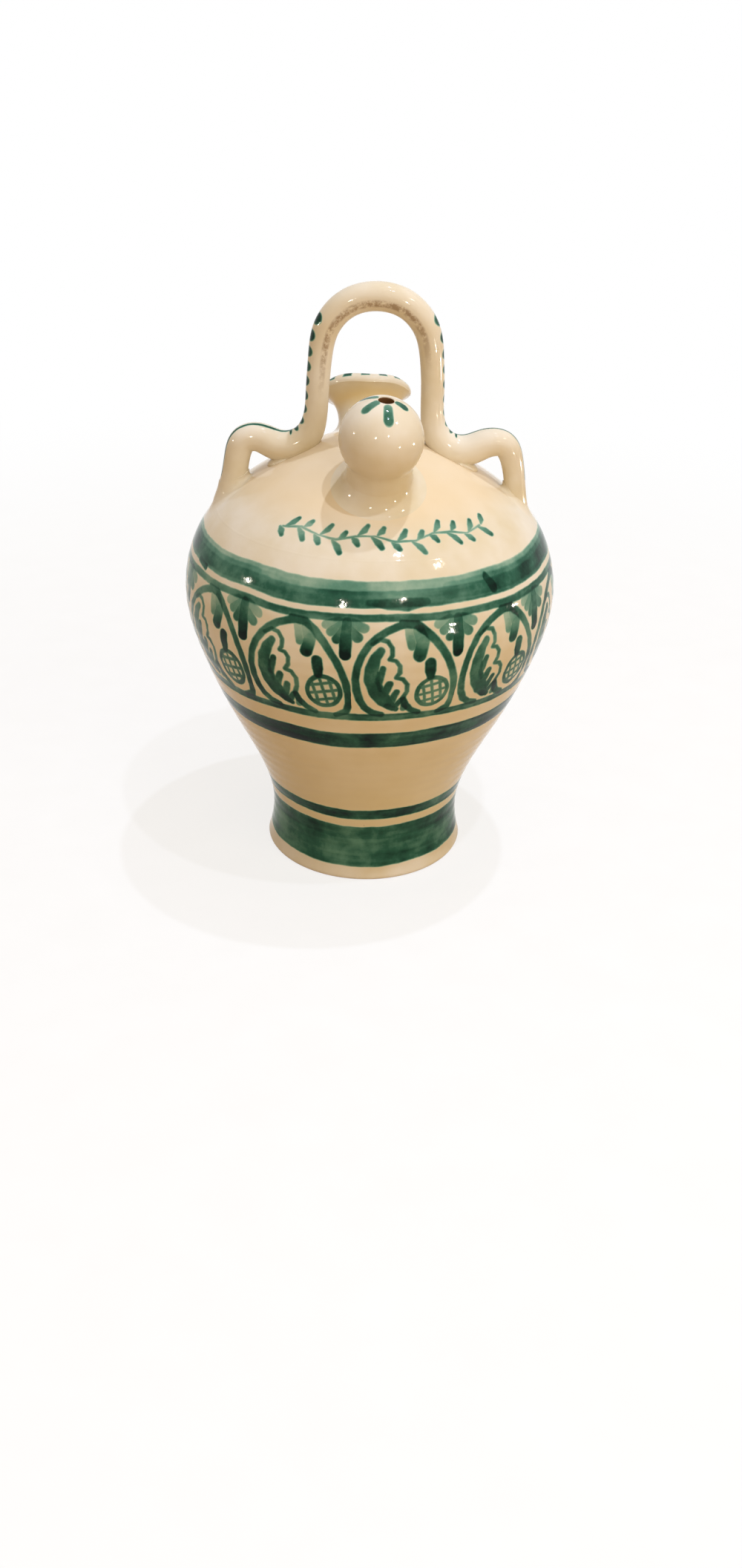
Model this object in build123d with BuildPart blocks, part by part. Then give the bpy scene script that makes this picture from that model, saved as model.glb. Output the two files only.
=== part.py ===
# Botijo: a glazed earthenware water jug with a closed dome, a drinking spout in front,
# a filling mouth behind and one pulled handle that stands across the top.
# It is thrown and pulled as six clay pieces, and the other pieces are the clay slip that lutes them.
# Millimetres and degrees. Z is up, the floor is at zero and the spout leans towards minus Y.
import os
from math import cos, radians, sin, sqrt, tan

from build123d import *

# Outline of the thrown body: the radius of each turning point and its rise above the one before
foot_radius = 66.5
foot_edge = 2.0
foot_lean = 16.7
waist_inset = 3.5
waist_rise = 27.0
thigh_swell = 8.5
thigh_rise = 37.0
flank_radius = 92.9
flank_rise = 44.4
underbelly_radius = 110.4
underbelly_rise = 42.4
belly_radius = 118.0
belly_rise = 36.2
shoulder_radius = 107.0
shoulder_rise = 40.3
slope_radius = 80.0
slope_rise = 26.5
crown_radius = 45.0
crown_rise = 20.2
dome_rise = 12.0

# Clay thicknesses and the places where the body's sections are luted
wall = 7.0
floor_thickness = 9.0
standing_ring = 14.0
recess_depth = 3.0
foot_height = 50.0
dome_rim_radius = 98.0
seam_slip = 1.2

# Drinking spout: a short neck under a closed ball, with a small hole cut a little behind its top
spout_reach = 51.0
spout_tilt = 19.0
spout_foot_radius = 20.6
spout_neck_radius = 19.3
spout_wall = 5.0
bulb_radius = 24.7
bulb_rise = 31.5
drink_radius = 4.0
drink_back = 10.0

# Filling mouth: a neck that flares to a thick round lip
mouth_reach = 54.0
mouth_tilt = 33.0
mouth_radius = 18.5
throat_radius = 12.5
flare_start = 9.0
rim_radius = 27.0
rim_rise = 27.0
lip_radius = 4.0

# Handle: one round coil from shoulder to shoulder that touches the dome on each side of its arch
handle_turn = -4.3
coil_radius = 8.3
arch_rise = 81.0
arch_flat = 1.0
leg_lean = 4.8
elbow_radius = 20.0
saddle_press = 1.5
hump_slope = 21.5
hump_radius = 11.0
hump_span = 34.5
root_inset = 28.5
root_splay = 9.0
root_depth = 14.0

# Luting slip smeared round the seats of the spout, the mouth and the handle
collar_rise = 9.0
collar_spread = 6.0
collar_depth = 9.0
root_pad_rise = 7.0
root_pad_spread = 5.0
root_pad_depth = 4.0
root_pad_feather = 0.5
saddle_pad_length = 12.0
saddle_pad_width = 8.5

# Radii and heights of the outline's turning points, with the lower wall sized from the foot
waist_radius = foot_radius - waist_inset
thigh_radius = waist_radius + thigh_swell
thigh_height = waist_rise + thigh_rise
flank_height = thigh_height + flank_rise
underbelly_height = flank_height + underbelly_rise
belly_height = underbelly_height + belly_rise
shoulder_height = belly_height + shoulder_rise
slope_height = shoulder_height + slope_rise
crown_height = slope_height + crown_rise
dome_height = crown_height + dome_rise

# The outline in three stretches, drawn flat with the radius across and the height up
foot_line = Spline(
    (foot_radius, foot_edge),
    (waist_radius, waist_rise),
    tangents=((-sin(radians(foot_lean)), cos(radians(foot_lean))), (0, 1)),
)
wall_line = Spline(
    (waist_radius, waist_rise),
    (thigh_radius, thigh_height),
    (flank_radius, flank_height),
    (underbelly_radius, underbelly_height),
    (belly_radius, belly_height),
    tangents=((0, 1), (0, 1)),
)
dome_line = Spline(
    (belly_radius, belly_height),
    (shoulder_radius, shoulder_height),
    (slope_radius, slope_height),
    (crown_radius, crown_height),
    (0, dome_height),
    tangents=((0, 1), (-1, 0)),
)


def wall_inset(line, share):
    # The point one wall thickness inside the outline, square to it
    point = line.position_at(share)
    along = line.tangent_at(share)
    return (point.X - wall * along.Y, point.Y + wall * along.X)


def dome_top(radius):
    # Height of the dome's outer face at a radius, found by halving the stretch
    low, high = 0.0, 1.0
    for step in range(50):
        middle = (low + high) / 2
        if dome_line.position_at(middle).X > radius:
            low = middle
        else:
            high = middle
    return dome_line.position_at(low).Y


def upright_plane(turn):
    # A standing plane through the body's axis, with the radius across and the height up
    across = (cos(radians(turn)), sin(radians(turn)), 0)
    square = (sin(radians(turn)), -cos(radians(turn)), 0)
    return Plane(origin=(0, 0, 0), x_dir=across, z_dir=square)


seam_height = dome_top(dome_rim_radius)
chamber_radius = waist_radius - wall
inner_points = [wall_inset(wall_line, share) for share in (0.0, 0.25, 0.5, 0.75)]
inner_points += [wall_inset(dome_line, share) for share in (0.0, 0.25, 0.5, 0.75, 1.0)]

# The filled body, used to seat the other pieces on its outer face
with BuildPart() as envelope:
    with BuildSketch(Plane.XZ):
        with BuildLine():
            add([foot_line, wall_line, dome_line])
            Polyline((0, dome_height), (0, 0), (foot_radius - foot_edge, 0))
            TangentArc((foot_radius - foot_edge, 0), (foot_radius, foot_edge), tangent=(1, 0))
        make_face()
    revolve(axis=Axis.Z)

# Half section of the body's wall and floor, shared by its sections
with BuildSketch() as wall_section:
    with BuildLine():
        add([foot_line, wall_line, dome_line])
        Line((0, dome_height), (0, dome_height - wall))
        Spline(*inner_points, tangents=((0, 1), (-1, 0)))
        Polyline(inner_points[0], (chamber_radius, floor_thickness), (0, floor_thickness))
        Polyline((0, floor_thickness), (0, 0), (foot_radius - foot_edge, 0))
        TangentArc((foot_radius - foot_edge, 0), (foot_radius, foot_edge), tangent=(1, 0))
    make_face()


def keep_heights(bottom, top):
    # Keeps what lies between two heights of the half section being drawn
    with Locations((0, bottom)):
        Rectangle(2 * belly_radius, top - bottom, align=(Align.MIN, Align.MIN), mode=Mode.INTERSECT)


# Spout and mouth axes, each leaving the dome where its reach meets the outer face
spout_seat = (0, -spout_reach, dome_top(spout_reach))
spout_lean = (0, -sin(radians(spout_tilt)), cos(radians(spout_tilt)))
spout_plane = Plane(origin=spout_seat, x_dir=(1, 0, 0), z_dir=(0, -spout_lean[2], spout_lean[1]))
spout_axis = Axis(spout_seat, spout_lean)
spout_bore = spout_neck_radius - spout_wall
bulb_crease = bulb_rise - sqrt(bulb_radius**2 - spout_neck_radius**2)
bulb_centre = (0, spout_seat[1] + bulb_rise * spout_lean[1], spout_seat[2] + bulb_rise * spout_lean[2])
drink_lean = (0, -sin(radians(spout_tilt - drink_back)), cos(radians(spout_tilt - drink_back)))
mouth_seat = (0, mouth_reach, dome_top(mouth_reach))
mouth_lean = (0, sin(radians(mouth_tilt)), cos(radians(mouth_tilt)))
mouth_plane = Plane(origin=mouth_seat, x_dir=(1, 0, 0), z_dir=(0, -mouth_lean[2], mouth_lean[1]))
mouth_axis = Axis(mouth_seat, mouth_lean)
seat_depth = 2 * mouth_radius

# Foot with the floor, turned hollow underneath so that it stands on a ring
with BuildPart() as foot:
    with BuildSketch(Plane.XZ):
        add(wall_section.sketch)
        keep_heights(0, foot_height)
    revolve(axis=Axis.Z)
    with BuildSketch(Plane.XY):
        Circle(foot_radius - foot_edge - standing_ring)
    extrude(amount=recess_depth, mode=Mode.SUBTRACT)

# Slip that lutes the belly on the foot
with BuildPart() as foot_seam_slip:
    with BuildSketch(Plane.XZ):
        add(wall_section.sketch)
        keep_heights(foot_height, foot_height + seam_slip)
    revolve(axis=Axis.Z)

# Belly, from the foot to the turn of the shoulder
with BuildPart() as belly_wall:
    with BuildSketch(Plane.XZ):
        add(wall_section.sketch)
        keep_heights(foot_height + seam_slip, seam_height)
    revolve(axis=Axis.Z)

# Slip that lutes the dome on the belly
with BuildPart() as belly_seam_slip:
    with BuildSketch(Plane.XZ):
        add(wall_section.sketch)
        keep_heights(seam_height, seam_height + seam_slip)
    revolve(axis=Axis.Z)

# Dome, pierced under the spout and the mouth
with BuildPart() as shoulder_dome:
    with BuildSketch(Plane.XZ):
        add(wall_section.sketch)
        keep_heights(seam_height + seam_slip, dome_height)
    revolve(axis=Axis.Z)
    with BuildSketch(Plane(origin=spout_seat, z_dir=spout_lean)):
        Circle(spout_bore)
    extrude(amount=seat_depth, both=True, mode=Mode.SUBTRACT)
    with BuildSketch(Plane(origin=mouth_seat, z_dir=mouth_lean)):
        Circle(throat_radius)
    extrude(amount=seat_depth, both=True, mode=Mode.SUBTRACT)

# Spout, thrown in one piece as a neck and a ball, and seated on the dome
with BuildPart() as spout:
    with BuildSketch(spout_plane):
        with BuildLine():
            Polyline(
                (0, -seat_depth),
                (spout_foot_radius, -seat_depth),
                (spout_foot_radius, 0),
                (spout_neck_radius, bulb_crease),
                (0, bulb_crease),
                close=True,
            )
        make_face()
        with Locations((0, bulb_rise)):
            Circle(bulb_radius)
            Circle(bulb_radius - spout_wall, mode=Mode.SUBTRACT)
            Rectangle(
                2 * spout_bore,
                seat_depth + bulb_rise,
                align=(Align.CENTER, Align.MAX),
                mode=Mode.SUBTRACT,
            )
        Rectangle(
            2 * bulb_radius,
            4 * (seat_depth + bulb_rise),
            align=(Align.MIN, Align.CENTER),
            mode=Mode.INTERSECT,
        )
    revolve(axis=spout_axis)
    with BuildSketch(Plane(origin=bulb_centre, z_dir=drink_lean)):
        Circle(drink_radius)
    extrude(amount=2 * bulb_radius, mode=Mode.SUBTRACT)
    add(envelope.part, mode=Mode.SUBTRACT)

# Mouth, a neck whose wall flares into the lip
with BuildPart() as mouth:
    with BuildSketch(mouth_plane):
        with BuildLine():
            Polyline(
                (throat_radius, flare_start),
                (throat_radius, -seat_depth),
                (mouth_radius, -seat_depth),
                (mouth_radius, flare_start),
            )
            TangentArc((mouth_radius, flare_start), (rim_radius, rim_rise), tangent=(0, 1))
            Line((rim_radius, rim_rise), (rim_radius - 2 * lip_radius, rim_rise))
            TangentArc((throat_radius, flare_start), (rim_radius - 2 * lip_radius, rim_rise), tangent=(0, 1))
        make_face()
        with Locations((rim_radius - lip_radius, rim_rise)):
            Circle(lip_radius)
    revolve(axis=mouth_axis)
    add(envelope.part, mode=Mode.SUBTRACT)

# Corners of the handle's path: its roots stand inside the belly's widest line, its saddles inside the
# roots, and the elbow's lowest point presses the coil into the dome
root_reach = belly_radius - root_inset
saddle_reach = root_reach - hump_span
hump_reach = root_reach - root_splay
elbow_opening = radians(90 + leg_lean - hump_slope)
elbow_middle = radians(90 + leg_lean + hump_slope) / 2
elbow_offset = elbow_radius / sin(elbow_opening / 2)
elbow_center = dome_top(saddle_reach) + coil_radius - saddle_press + elbow_radius
elbow_x = saddle_reach - elbow_offset * cos(elbow_middle)
elbow_z = elbow_center - elbow_offset * sin(elbow_middle)
hump_z = elbow_z + (hump_reach - elbow_x) * tan(radians(hump_slope))
arch_z = dome_height + arch_rise
arch_x = elbow_x - (arch_z - elbow_z) * tan(radians(leg_lean))
arch_radius = (arch_x - arch_flat / 2) / tan(radians(90 - leg_lean) / 2)
root_slope = (root_reach - hump_reach) / (hump_z - dome_top(root_reach))
root_x = root_reach + root_depth * root_slope
root_z = dome_top(root_reach) - root_depth
handle_plane = upright_plane(handle_turn)

# Handle, one coil swept along its path and seated on the dome and the shoulder
with BuildPart() as handle:
    with BuildLine(handle_plane) as coil_path:
        FilletPolyline(
            (-root_x, root_z),
            (-hump_reach, hump_z),
            (-elbow_x, elbow_z),
            (-arch_x, arch_z),
            (arch_x, arch_z),
            (elbow_x, elbow_z),
            (hump_reach, hump_z),
            (root_x, root_z),
            radius=[hump_radius, elbow_radius, arch_radius, arch_radius, elbow_radius, hump_radius],
        )
    with BuildSketch(Plane(origin=coil_path.line @ 0, z_dir=coil_path.line % 0)):
        Circle(coil_radius)
    sweep(path=coil_path.line)
    add(envelope.part, mode=Mode.SUBTRACT)


def seat_collar(side_plane, axis, stem_radius, stem):
    # A coved ring of slip round a stem where it meets the dome
    with BuildPart() as collar:
        with BuildSketch(side_plane):
            with BuildLine():
                cove = SagittaArc(
                    (stem_radius, collar_rise),
                    (stem_radius + collar_spread, -collar_depth),
                    collar_spread / 4,
                )
                Polyline(
                    cove @ 1,
                    (stem_radius - spout_wall / 2, -collar_depth),
                    (stem_radius - spout_wall / 2, collar_rise),
                    cove @ 0,
                )
            make_face()
        revolve(axis=axis)
        add(stem.part, mode=Mode.SUBTRACT)
        add(envelope.part, mode=Mode.SUBTRACT)
    return collar


def slope_plane(turn, radius, height, drift):
    # A plane along the dome's slope at a radius, raised square to it and moved down the slope
    standing = upright_plane(turn)
    fall = dome_top(radius - wall) - dome_top(radius + wall)
    along = (standing.x_dir * 2 * wall - standing.y_dir * fall).normalized()
    outward = (standing.x_dir * fall + standing.y_dir * 2 * wall).normalized()
    seat = standing.from_local_coords(Vector(radius, dome_top(radius), 0))
    return Plane(origin=seat + outward * height + along * drift, x_dir=along, z_dir=outward)


def root_pad(turn):
    # A skirt of slip that follows the leaning coil down and spreads on the shoulder
    standing = upright_plane(turn)
    seat = slope_plane(turn, root_reach, 0, 0)
    coil = (standing.y_dir - standing.x_dir * root_slope).normalized()
    upright = coil.dot(seat.z_dir)
    drift = coil.dot(seat.x_dir) / upright
    with BuildPart() as pad:
        with BuildSketch(slope_plane(turn, root_reach, -root_pad_depth, -root_pad_depth * drift)):
            Ellipse(coil_radius / upright + root_pad_spread, coil_radius + root_pad_spread)
        with BuildSketch(slope_plane(turn, root_reach, root_pad_rise, root_pad_rise * drift)):
            Ellipse(coil_radius / upright - root_pad_feather, coil_radius - root_pad_feather)
        loft()
        add(envelope.part, mode=Mode.SUBTRACT)
        add(handle.part, mode=Mode.SUBTRACT)
    return pad


def saddle_pad(turn):
    # A long pat of slip lying along the dome's slope, pressed in round the coil
    seat = slope_plane(turn, saddle_reach, 0, 0)
    with BuildPart() as pad:
        with BuildSketch(Plane(origin=seat.origin, x_dir=seat.x_dir, z_dir=-seat.y_dir)):
            Ellipse(saddle_pad_length, saddle_pad_width)
            Rectangle(
                2 * saddle_pad_length,
                saddle_pad_width,
                align=(Align.CENTER, Align.MIN),
                mode=Mode.INTERSECT,
            )
        revolve(axis=Axis(seat.origin, seat.x_dir))
        add(envelope.part, mode=Mode.SUBTRACT)
        add(handle.part, mode=Mode.SUBTRACT)
    return pad


# Slip round the spout, the mouth and the handle's seats
spout_seat_slip = seat_collar(spout_plane, spout_axis, spout_foot_radius, spout)
mouth_seat_slip = seat_collar(mouth_plane, mouth_axis, mouth_radius, mouth)
right_root_slip = root_pad(handle_turn)
left_root_slip = root_pad(handle_turn + 180)
right_saddle_slip = saddle_pad(handle_turn)
left_saddle_slip = saddle_pad(handle_turn + 180)

# Labels and files
os.makedirs("parts", exist_ok=True)
foot.part.label = "foot"
export_step(foot.part, "parts/foot.step")
foot_seam_slip.part.label = "foot_seam_slip"
export_step(foot_seam_slip.part, "parts/foot_seam_slip.step")
belly_wall.part.label = "belly_wall"
export_step(belly_wall.part, "parts/belly_wall.step")
belly_seam_slip.part.label = "belly_seam_slip"
export_step(belly_seam_slip.part, "parts/belly_seam_slip.step")
shoulder_dome.part.label = "shoulder_dome"
export_step(shoulder_dome.part, "parts/shoulder_dome.step")
spout.part.label = "spout"
export_step(spout.part, "parts/spout.step")
spout_seat_slip.part.label = "spout_seat_slip"
export_step(spout_seat_slip.part, "parts/spout_seat_slip.step")
mouth.part.label = "mouth"
export_step(mouth.part, "parts/mouth.step")
mouth_seat_slip.part.label = "mouth_seat_slip"
export_step(mouth_seat_slip.part, "parts/mouth_seat_slip.step")
handle.part.label = "handle"
export_step(handle.part, "parts/handle.step")
left_root_slip.part.label = "left_root_slip"
export_step(left_root_slip.part, "parts/left_root_slip.step")
right_root_slip.part.label = "right_root_slip"
export_step(right_root_slip.part, "parts/right_root_slip.step")
left_saddle_slip.part.label = "left_saddle_slip"
export_step(left_saddle_slip.part, "parts/left_saddle_slip.step")
right_saddle_slip.part.label = "right_saddle_slip"
export_step(right_saddle_slip.part, "parts/right_saddle_slip.step")
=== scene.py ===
from functools import partial
from math import asin, cos, hypot, pi, radians, sin

import bmesh
import bpy
import numpy as np
from mathutils import Matrix, Vector


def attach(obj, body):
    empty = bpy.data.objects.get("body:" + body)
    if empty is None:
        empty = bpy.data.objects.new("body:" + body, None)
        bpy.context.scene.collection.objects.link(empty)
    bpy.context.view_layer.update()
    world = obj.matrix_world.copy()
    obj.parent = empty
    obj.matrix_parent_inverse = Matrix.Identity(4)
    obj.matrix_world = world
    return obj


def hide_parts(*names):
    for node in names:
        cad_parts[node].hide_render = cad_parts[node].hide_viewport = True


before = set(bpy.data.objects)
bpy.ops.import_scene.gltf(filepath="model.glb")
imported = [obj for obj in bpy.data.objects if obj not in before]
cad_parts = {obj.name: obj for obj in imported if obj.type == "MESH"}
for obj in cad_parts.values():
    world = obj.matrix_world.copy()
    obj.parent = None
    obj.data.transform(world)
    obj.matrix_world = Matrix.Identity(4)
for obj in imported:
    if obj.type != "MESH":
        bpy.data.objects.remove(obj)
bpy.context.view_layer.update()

scene = bpy.context.scene
mm = 0.001  # sizes below are millimetres, Blender works in metres
print("frame loaded:", len(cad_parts), "nodes")


def hexLinear(code):
    parts = [int(code[i:i + 2], 16) / 255 for i in (1, 3, 5)]
    return [p / 12.92 if p <= 0.04045 else ((p + 0.055) / 1.055) ** 2.4 for p in parts] + [1.0]


def addNode(tree, kind, *sources, **settings):
    # kind names the operation too, where there is one
    # sources fill the sockets in their order, or one dictionary names them
    kind, _, operation = kind.partition(" ")
    made = tree.nodes.new("ShaderNode" + kind)
    if operation:
        made.operation = operation
    for name, value in settings.items():
        setattr(made, name, value)
    named = sources and isinstance(sources[0], dict)
    for socket, source in sources[0].items() if named else enumerate(sources):
        if isinstance(source, bpy.types.Node):  # a node stands for its first output in use
            source = next(out for out in source.outputs if out.enabled)
        if isinstance(source, bpy.types.NodeSocket):
            tree.links.new(source, made.inputs[socket])
        else:
            made.inputs[socket].default_value = source
    return made


def newMaterial(name):
    material = bpy.data.materials.new(name)
    material.use_nodes = True
    material.node_tree.nodes.clear()
    return material


def unit(share):
    return min(max(share, 0), 1)


# the thrown body: radius and height of each turning point, as in the part's source
body = {
    "footLine": [(66.5, 2.0), (63.0, 27.0)],
    "footLean": 16.7,
    "wallLine": [(63.0, 27.0), (71.5, 64.0), (92.9, 108.4), (110.4, 150.8), (118.0, 187.0)],
    "domeLine": [(118.0, 187.0), (107.0, 227.3), (80.0, 253.8), (45.0, 274.0), (0.0, 286.0)],
    "footEdge": 2.0,
    "recessEdge": 0.8,
    "wall": 7.0,
    "floor": 9.0,
    "standingRing": 14.0,
    "recess": 3.0,
    "footSeam": (50.0, 51.2),
    "footSwell": 0.05,  # how far the slip stands out of each seam
    "shoulderSeam": (238.78, 239.98),
    "shoulderSwell": 0.08,
    "segments": 288,
    "roundness": 0.35,  # how far the throwing strays from a true circle
    "roundStep": 60.0,
    "trueAbove": 232.0,  # the dome was trued on the wheel, and the straying fades in below it
    "trueFade": 40.0,
    "trueWithin": 60.0,
    "ridge": 0.1,  # finger ridges left by throwing
    "ridgeStep": 8.5,
}


def throughPoints(points, leave, arrive, rows):
    # smooth cubic line through the points, with its two end directions given
    points = np.array(points, float)
    gaps = np.linalg.norm(np.diff(points, axis=0), axis=1)
    count = len(points)
    weights = np.eye(count)
    slopes = np.zeros_like(points)
    slopes[0] = leave
    slopes[-1] = arrive
    for i in range(1, count - 1):
        before, after = gaps[i - 1], gaps[i]
        weights[i, i - 1:i + 2] = after, 2 * (before + after), before
        rise, fall = points[i] - points[i - 1], points[i + 1] - points[i]
        slopes[i] = 3 * (after / before * rise + before / after * fall)
    slopes = np.linalg.solve(weights, slopes)
    line = []
    for i in range(count - 1):
        for t in np.linspace(0, 1, rows, endpoint=False):
            line.append(points[i] * (1 + 2 * t) * (1 - t) ** 2 + gaps[i] * slopes[i] * t * (1 - t) ** 2
                        + points[i + 1] * t * t * (3 - 2 * t) - gaps[i] * slopes[i + 1] * t * t * (1 - t))
    line.append(points[-1])
    return np.array(line)


lean = radians(body["footLean"])
footLine = throughPoints(body["footLine"], (-sin(lean), cos(lean)), (0, 1), 40)
wallLine = throughPoints(body["wallLine"], (0, 1), (0, 1), 60)
domeLine = throughPoints(body["domeLine"], (0, 1), (-1, 0), 60)
outerLine = np.vstack([footLine[:-1], wallLine[:-1], domeLine])
upperLine = np.vstack([wallLine[:-1], domeLine])
alongLine = np.gradient(upperLine, axis=0)
alongLine /= np.linalg.norm(alongLine, axis=1)[:, None]
innerLine = upperLine + body["wall"] * np.column_stack([-alongLine[:, 1], alongLine[:, 0]])
innerLine[-1] = (0, body["domeLine"][-1][1] - body["wall"])


def outerRadius(height):
    return float(np.interp(height, outerLine[:, 1], outerLine[:, 0]))


def innerRadius(height):
    return float(np.interp(height, innerLine[:, 1], innerLine[:, 0]))


def domeTop(radius):
    return float(np.interp(radius, domeLine[::-1, 0], domeLine[::-1, 1]))


def thrownPoint(turn, radius, height):
    # a point of the thrown body, a little out of round below the shoulder
    settle = unit((body["trueAbove"] - height) / body["trueFade"])
    stray = body["roundness"] * (sin(2 * turn + 0.9) + 0.5 * sin(3 * turn + height / body["roundStep"]))
    stray += body["ridge"] * sin(2 * pi * height / body["ridgeStep"] + 0.5 * sin(turn))
    radius = radius + settle * stray * min(radius / body["trueWithin"], 1)
    return (radius * cos(turn), radius * sin(turn), height)


def makePiece(name, points, faces, sharpest=40):
    mesh = bpy.data.meshes.new(name)
    mesh.from_pydata([tuple(c * mm for c in p) for p in points], [], faces)
    shape = bmesh.new()
    shape.from_mesh(mesh)
    bmesh.ops.recalc_face_normals(shape, faces=shape.faces)
    shape.to_mesh(mesh)
    shape.free()
    mesh.shade_smooth()
    mesh.set_sharp_from_angle(angle=radians(sharpest))
    piece = bpy.data.objects.new(name, mesh)
    scene.collection.objects.link(piece)
    return piece


def joinRings(rings):
    # faces from each ring of points to the next one
    faces = []
    for ring, after in zip(rings, rings[1:]):
        for i in range(len(ring)):
            j = (i + 1) % len(ring)
            corners = list(dict.fromkeys([ring[i], ring[j], after[j], after[i]]))
            if len(corners) > 2:
                faces.append(corners)
    return faces


def spin(name, loop, segments, place, sharpest=40):
    # turns a closed outline round an axis: a point of no radius is a single point on the axis
    points, rings = [], []
    turns = [2 * pi * i / segments for i in range(segments)]
    for entry in loop:
        if entry[0] < 1e-6:
            rings.append([len(points)] * segments)
            points.append(place(0, *entry))
        else:
            rings.append([len(points) + i for i in range(segments)])
            points += [place(turn, *entry) for turn in turns]
    return makePiece(name, points, joinRings(rings + rings[:1]), sharpest)


def dress(piece, node, slot, material):
    piece.data.materials.append(material)
    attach(piece, "root")
    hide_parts(node)


def wallSection(bottom, top, step=1.8, swell=0.0):
    # closed half section of the wall between two heights, finer outside than inside
    heights = np.linspace(bottom, top, max(int((top - bottom) / step), 3))
    middle = (bottom + top) / 2
    half = (top - bottom) / 2
    loop = [(outerRadius(h) + swell * (1 - ((h - middle) / half) ** 2), h) for h in heights]
    loop += [(innerRadius(h), h) for h in np.linspace(top, bottom, max(len(heights) // 3, 2))]
    return loop


recessRadius = body["footLine"][0][0] - body["footEdge"] - body["standingRing"]


def footSection():
    edge, ease, recess, floor = (body[k] for k in ("footEdge", "recessEdge", "recess", "floor"))
    rim, top = body["footLine"][0][0], body["footSeam"][0]
    turnIn = body["wallLine"][0][1]
    bore = innerRadius(turnIn)
    loop = [(0, recess), (recessRadius * 0.5, recess), (recessRadius - ease, recess),
            (recessRadius, recess - ease)]
    loop += [(recessRadius, ease), (recessRadius + ease, 0), (rim - edge, 0)]
    loop += [(rim - edge + edge * sin(a), edge - edge * cos(a)) for a in np.linspace(0.3, 1.57, 5)]
    loop += [(outerRadius(h), h) for h in np.linspace(edge + 1, top, 30)]
    loop += [(innerRadius(h), h) for h in np.linspace(top, turnIn, 8)]
    loop += [(bore, floor + 4), (bore - 1.2, floor + 1.2), (bore - 4, floor), (0, floor)]
    return loop


def domeSection():
    bottom = body["shoulderSeam"][1]
    outer = [(outerRadius(bottom), bottom)] + [tuple(p) for p in domeLine if p[1] > bottom + 0.8]
    inner = [(innerRadius(bottom), bottom)] + [tuple(p) for p in innerLine[::3] if p[1] > bottom + 0.8]
    outer[-1] = (0, outer[-1][1])
    if inner[-1][0] > 1e-6:
        inner.append(tuple(innerLine[-1]))
    return outer + inner[::-1]


# the spout and the mouth stand on leaning axes that leave the dome at their reach
spout = {
    "reach": 51.0,
    "tilt": 19.0,
    "footRadius": 20.4,
    "neckRadius": 19.3,
    "wall": 5.0,
    "bulbRadius": 24.7,
    "bulbRise": 30.7,
    "squash": 0.99,  # the ball is a little flat along its axis
    "hole": 4.4,
    "holeBack": 10.0,  # the hole was cut behind the top of the ball, and a little to the right
    "holeRight": 4.6,
    "turnBelow": 8.0,  # the skin starts to slide this far under the ball's middle
    "turnPast": 4.0,
    "segments": 120,
}
mouth = {
    "reach": 54.0,
    "tilt": 33.0,
    "neckRadius": 18.5,
    "throat": 12.5,
    "flareStart": 9.0,
    "rimRadius": 29.2,
    "rimRise": 26.4,
    "lip": 5.0,
    "waveOver": 16.0,
    "wave": 0.6,
    "flutter": 0.4,
    "sway": 0.5,
    "segments": 120,
}


def leaningAxis(reach, tilt, forward):
    seat = Vector((0, forward * reach, domeTop(reach)))
    up = Vector((0, forward * sin(radians(tilt)), cos(radians(tilt))))
    return {"seat": seat, "up": up, "side": Vector((1, 0, 0)), "front": up.cross(Vector((1, 0, 0)))}


spout["axis"] = leaningAxis(spout["reach"], spout["tilt"], -1)
mouth["axis"] = leaningAxis(mouth["reach"], mouth["tilt"], 1)


def axisPoint(axis, turn, radius, height):
    across = axis["side"] * cos(turn) + axis["front"] * sin(turn)
    return axis["seat"] + axis["up"] * height + across * radius


def heightOnDome(axis, turn, radius):
    # how far up the axis a stem's side leaves the dome
    low, high = -40.0, 40.0
    for step in range(40):
        middle = (low + high) / 2
        p = axisPoint(axis, turn, radius, middle)
        if p.z < domeTop(hypot(p.x, p.y)):
            low = middle
        else:
            high = middle
    return low


def seatedPlace(axis, shift=None):
    # outline points with a share of 1 follow the dome, those with 0 stand square to the axis
    def place(turn, radius, height, share=0.0):
        if share:
            height += share * heightOnDome(axis, turn, radius)
        p = axisPoint(axis, turn, radius, height)
        return tuple(shift(p, turn, height)) if shift else tuple(p)
    return place


def curveBetween(start, bend, end, rows):
    # rounded corner between two points of an outline
    start, bend, end = (np.array(p) for p in (start, bend, end))
    return [tuple((1 - t) ** 2 * start + 2 * t * (1 - t) * bend + t * t * end) for t in np.linspace(0, 1,
                                                                                                    rows)]


def spoutSection():
    ball, rise, flat, hole = (spout[k] for k in ("bulbRadius", "bulbRise", "squash", "hole"))
    neck, foot = spout["neckRadius"], spout["footRadius"]
    bore = neck - spout["wall"]
    inside = ball - spout["wall"]
    ballStart = pi - asin((neck + 1.9) / ball)
    joint = (ball * sin(ballStart), rise + flat * ball * cos(ballStart))
    crease = rise + flat * ball * cos(pi - asin(neck / ball))
    loop = [(foot, -3, 1), (foot, 0, 1), (foot - 0.2, 2.5, 0.85), (foot - 0.5, 6, 0.55)]
    loop += curveBetween((neck + 0.1, crease - 4.5), (neck, crease), joint, 7)
    holeEdge = asin((hole + 1.4) / ball)
    loop += [(ball * sin(a), rise + flat * ball * cos(a)) for a in np.linspace(ballStart, holeEdge, 46)[1:]]
    top = rise + flat * ball * cos(holeEdge)
    loop += [(hole + 0.5, top - 0.1), (hole + 0.1, top - 0.6), (hole, top - 1.4)]
    innerEdge = asin(hole / inside)
    boreEdge = pi - asin(bore / inside)
    loop += [(inside * sin(a), rise + inside * flat * cos(a)) for a in np.linspace(innerEdge, boreEdge, 20)]
    loop += [(bore, 6, 0.5), (bore, -3, 1)]
    return loop


spout["ballCentre"] = spout["axis"]["seat"] + spout["axis"]["up"] * spout["bulbRise"]


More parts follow.
